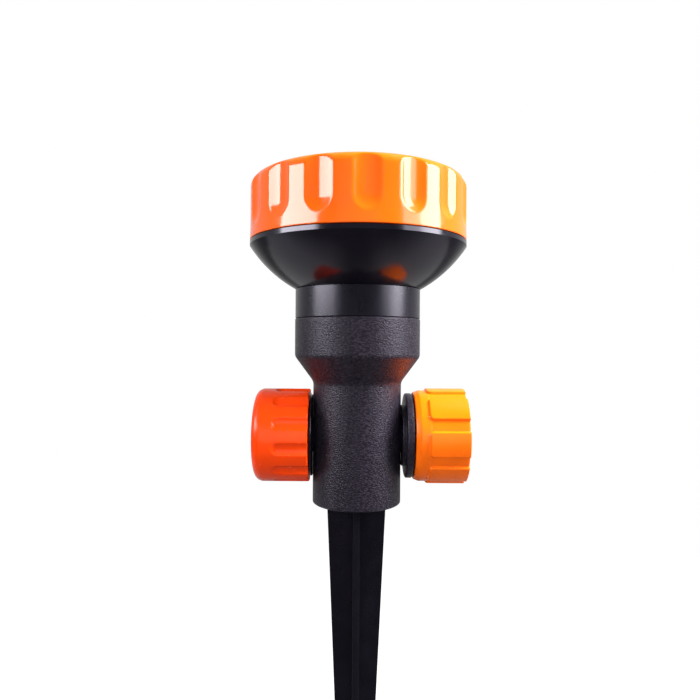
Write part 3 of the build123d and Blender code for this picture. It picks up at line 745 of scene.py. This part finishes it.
def soft_lamp(name, azimuths, elevations, glow, kind):
    """Soft lamp between two azimuths and elevations, of a radiance, for diffuse light or for gloss."""
    distance = 0.6
    aim = Vector((0, 0, 0.06))
    data = bpy.data.lights.new(name, "AREA")
    data.shape = "RECTANGLE"
    data.size = 2 * distance * tan(radians(azimuths[1] - azimuths[0]) / 2)
    data.size_y = 2 * distance * tan(radians(elevations[1] - elevations[0]) / 2)
    data.energy = glow * pi * data.size * data.size_y
    lamp = bpy.data.objects.new(name, data)
    around, above = radians(sum(azimuths) / 2), radians(sum(elevations) / 2)
    way = Vector((sin(around) * cos(above), -cos(around) * cos(above), sin(above)))
    lamp.location = aim + way * distance
    lamp.rotation_euler = (-way).to_track_quat("-Z", "Y").to_euler()
    lamp.visible_diffuse = kind == "light"
    lamp.visible_glossy = kind == "gloss"
    bpy.context.scene.collection.objects.link(lamp)


def set_lamps():
    """Strong light from the right and above, weak from the left and front, and cards for the gloss."""
    soft_lamp("light_right", (62, 98), (16, 52), 27.0, "light")
    soft_lamp("light_left", (-86, -54), (12, 44), 7.5, "light")
    soft_lamp("light_top", (70, 100), (52, 76), 36.0, "light")
    soft_lamp("light_front", (-22, 18), (-14, 20), 4.2, "light")
    soft_lamp("gloss_right", (64, 88), (7, 42), 15.0, "gloss")
    soft_lamp("gloss_right_soft", (44, 64), (7, 25), 6.0, "gloss")
    soft_lamp("gloss_right_low", (56, 84), (1, 7), 7.0, "gloss")
    soft_lamp("gloss_left", (-82, -42), (8, 27), 15.0, "gloss")
    soft_lamp("gloss_left_low", (-84, -58), (1, 8), 3.0, "gloss")


def set_world():
    """White to the eye, dim to the rest; to gloss it goes from pale behind the object to dark in front."""
    world = bpy.data.worlds.new("studio")
    bpy.context.scene.world = world
    world.use_nodes = True
    nodes, links = world.node_tree.nodes, world.node_tree.links
    nodes.clear()
    paths = nodes.new("ShaderNodeLightPath")
    seen = nodes.new("ShaderNodeMath")
    seen.operation = "MAXIMUM"
    links.new(paths.outputs["Is Camera Ray"], seen.inputs[0])
    links.new(paths.outputs["Is Transmission Ray"], seen.inputs[1])
    coordinates = nodes.new("ShaderNodeTexCoord")
    parts = nodes.new("ShaderNodeSeparateXYZ")
    links.new(coordinates.outputs["Generated"], parts.inputs["Vector"])
    ambient = nodes.new("ShaderNodeBackground")
    ambient.inputs["Color"].default_value = (0.93, 0.95, 1.0, 1)
    skylight = value_range(nodes, links, parts.outputs["Z"], -0.2, 0.6, 0.16, 0.32)
    links.new(skylight, ambient.inputs["Strength"])
    gloss = nodes.new("ShaderNodeBackground")
    gloss.inputs["Color"].default_value = (1, 1, 1, 1)
    behind = value_range(nodes, links, parts.outputs["Y"], -0.4, 0.8, 0.03, 0.7)
    above = value_range(nodes, links, parts.outputs["Z"], -0.3, 0.1, 0.2, 1.0)
    links.new(multiplied(nodes, links, behind, above), gloss.inputs["Strength"])
    unseen = nodes.new("ShaderNodeMixShader")
    links.new(paths.outputs["Is Glossy Ray"], unseen.inputs["Fac"])
    links.new(ambient.outputs["Background"], unseen.inputs[1])
    links.new(gloss.outputs["Background"], unseen.inputs[2])
    white = nodes.new("ShaderNodeBackground")
    white.inputs["Color"].default_value = (1, 1, 1, 1)
    whole = nodes.new("ShaderNodeMixShader")
    links.new(seen.outputs["Value"], whole.inputs["Fac"])
    links.new(unseen.outputs["Shader"], whole.inputs[1])
    links.new(white.outputs["Background"], whole.inputs[2])
    output = nodes.new("ShaderNodeOutputWorld")
    links.new(whole.outputs["Shader"], output.inputs["Surface"])


def set_floor():
    """Round floor under the spike's tip, white to the eye apart from the object's shadow."""
    radius = 0.6
    sides = 96
    glow_to_eye = 0.88       # what the eye sees of the floor apart from its light and shadow
    low = spike_low.z * MM
    angles = [2 * pi * side / sides for side in range(sides)]
    rim = [(radius * cos(angle), radius * sin(angle), low) for angle in angles]
    mesh = bpy.data.meshes.new("floor")
    mesh.from_pydata(rim, [], [list(range(sides))])
    material, nodes, links, shader = new_material("floor_paper")
    shader.inputs["Roughness"].default_value = 0.9
    shader.inputs["Specular IOR Level"].default_value = 0.0
    shader.inputs["Emission Color"].default_value = (1, 1, 1, 1)
    paths = nodes.new("ShaderNodeLightPath")
    grey, dark = (0.12, 0.12, 0.12), (0.01, 0.01, 0.01)
    shade = ramp(nodes, links, paths.outputs["Is Glossy Ray"], 0, 1, grey, dark)
    links.new(shade.outputs["Color"], shader.inputs["Base Color"])
    seen = value_range(nodes, links, paths.outputs["Is Camera Ray"], 0, 1, 0, glow_to_eye)
    coordinates = nodes.new("ShaderNodeTexCoord")
    parts = nodes.new("ShaderNodeSeparateXYZ")
    links.new(coordinates.outputs["Object"], parts.inputs["Vector"])
    # To gloss, the floor is dark in front of the object and glows beside and behind it.
    aside = nodes.new("ShaderNodeMath")
    aside.operation = "ABSOLUTE"
    links.new(parts.outputs["X"], aside.inputs[0])
    beside = value_range(nodes, links, aside.outputs["Value"], 0.03, 0.10, 0.2, 1.0)
    behind = value_range(nodes, links, parts.outputs["Y"], -0.15, 0.02, 0.04, 0.6)
    cards = multiplied(nodes, links, beside, behind)
    glow = nodes.new("ShaderNodeMath")
    glow.operation = "ADD"
    links.new(seen, glow.inputs[0])
    links.new(multiplied(nodes, links, paths.outputs["Is Glossy Ray"], cards), glow.inputs[1])
    links.new(glow.outputs["Value"], shader.inputs["Emission Strength"])
    mesh.materials.append(material)
    floor = bpy.data.objects.new("floor", mesh)
    bpy.context.scene.collection.objects.link(floor)


bpy.context.scene.view_settings.view_transform = "Standard"
dress_nodes()
round_spike_edges()
body_housing()
dial_ring()
inlet_tail()
inlet_bush()
outlet_nipple()
end_cap()
swivel_nut()
nut_thread()
outlet_thread()
set_camera()
set_world()
set_floor()
set_lamps()
